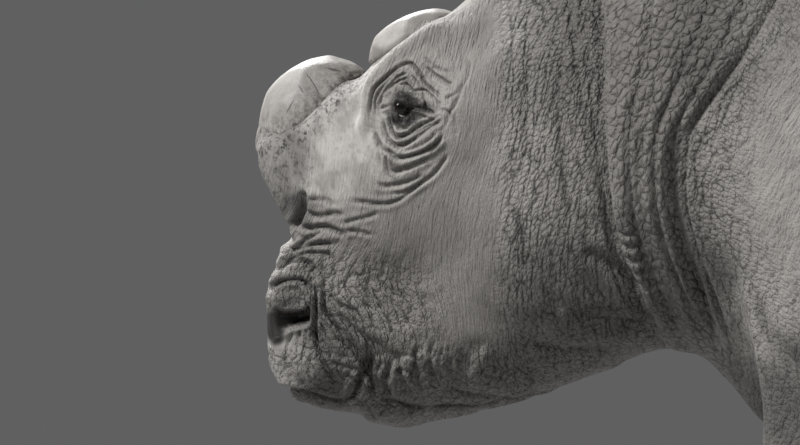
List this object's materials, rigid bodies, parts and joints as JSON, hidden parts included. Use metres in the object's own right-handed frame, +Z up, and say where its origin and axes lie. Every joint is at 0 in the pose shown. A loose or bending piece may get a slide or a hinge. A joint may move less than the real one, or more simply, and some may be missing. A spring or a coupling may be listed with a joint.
{
  "type": "white rhinoceros",
  "caption": "Life-size white rhinoceros standing still with its head half raised and its horns cut back to rounded stumps.",
  "frame": {"origin": "centre of the bounding box in plan, on the floor under the soles", "axes": "-X is the way the animal faces, -Y is its left side, +Z is up"},
  "size_m": [3.2594, 0.9786, 1.7501],
  "materials": {
    "hide": "dry, matte, deeply wrinkled skin",
    "horn": "pale cut keratin, fibrous and dull",
    "nail": "worn, dull keratin",
    "eye": "wet, dark brown, glossy"
  },
  "bodies": {
    "root": {"head": "hide", "lower_jaw": "hide", "neck": "hide", "trunk": "hide", "tail": "hide", "ear_left": "hide", "ear_right": "hide", "leg_front_left": "hide", "leg_front_right": "hide", "leg_hind_left": "hide", "leg_hind_right": "hide", "foot_front_left": "hide", "foot_front_right": "hide", "foot_hind_left": "hide", "foot_hind_right": "hide", "horn_front_stump": "horn", "horn_rear_stump": "horn", "nail_front_left_outer": "nail", "nail_front_left_middle": "nail", "nail_front_left_inner": "nail", "nail_front_right_outer": "nail", "nail_front_right_middle": "nail", "nail_front_right_inner": "nail", "nail_hind_left_outer": "nail", "nail_hind_left_middle": "nail", "nail_hind_left_inner": "nail", "nail_hind_right_outer": "nail", "nail_hind_right_middle": "nail", "nail_hind_right_inner": "nail", "eye_left": "eye", "eye_right": "eye"}
  },
  "joints": []
}
